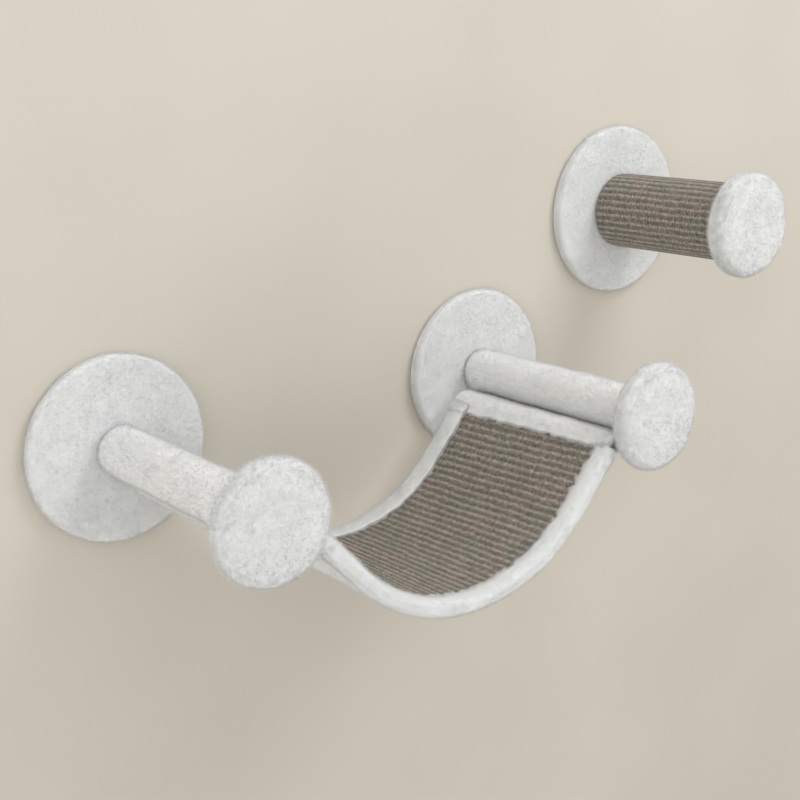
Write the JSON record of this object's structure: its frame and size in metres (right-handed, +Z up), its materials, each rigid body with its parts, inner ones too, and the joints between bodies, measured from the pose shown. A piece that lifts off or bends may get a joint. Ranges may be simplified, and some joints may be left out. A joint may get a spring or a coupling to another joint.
{
  "type": "wall mounted cat tree",
  "caption": "Plush wall posts carrying a slung sisal hammock, with a separate sisal scratching post, each on a round wall plate.",
  "frame": {"origin": "middle of the left hammock plate's back face, on the wall plane", "axes": "+Z up, +X along the wall to the right as seen from the room, +Y into the wall; the posts point towards -Y"},
  "size_m": [1.184, 0.395, 0.5514],
  "materials": {
    "plush": "matte",
    "sisal": "matte",
    "chipboard": "matte",
    "softwood": "matte",
    "cardboard": "matte",
    "foam": "matte",
    "canvas": "matte",
    "steel": "satin"
  },
  "bodies": {
    "root": {"left_wall_board": "chipboard", "left_wall_cover": "plush", "left_plate_bolt": "steel", "left_bolt_washer": "steel", "left_threaded_insert": "steel", "left_inner_plug": "softwood", "left_post_tube": "cardboard", "left_post_cover": "plush", "left_outer_plug": "softwood", "left_cap_board": "softwood", "left_cap_screw": "steel", "left_cap_pad": "foam", "left_cap_cover": "plush", "right_wall_board": "chipboard", "right_wall_cover": "plush", "right_plate_bolt": "steel", "right_bolt_washer": "steel", "right_threaded_insert": "steel", "right_inner_plug": "softwood", "right_post_tube": "cardboard", "right_post_cover": "plush", "right_outer_plug": "softwood", "right_cap_board": "softwood", "right_cap_screw": "steel", "right_cap_pad": "foam", "right_cap_cover": "plush", "scratch_wall_board": "chipboard", "scratch_wall_cover": "plush", "scratch_plate_bolt": "steel", "scratch_bolt_washer": "steel", "scratch_threaded_insert": "steel", "scratch_inner_plug": "softwood", "scratch_post_tube": "cardboard", "scratch_post_sisal": "sisal", "scratch_outer_plug": "softwood", "scratch_cap_board": "softwood", "scratch_cap_screw": "steel", "scratch_cap_pad": "foam", "scratch_cap_cover": "plush", "sling_mat": "sisal", "sling_canvas": "canvas", "sling_padding": "foam", "sling_underside": "plush", "sling_back_border": "plush", "sling_front_border": "plush", "left_hem": "plush", "left_batten": "softwood", "left_hem_screw_back": "steel", "left_hem_screw_front": "steel", "right_hem": "plush", "right_batten": "softwood", "right_hem_screw_back": "steel", "right_hem_screw_front": "steel"}
  },
  "joints": []
}
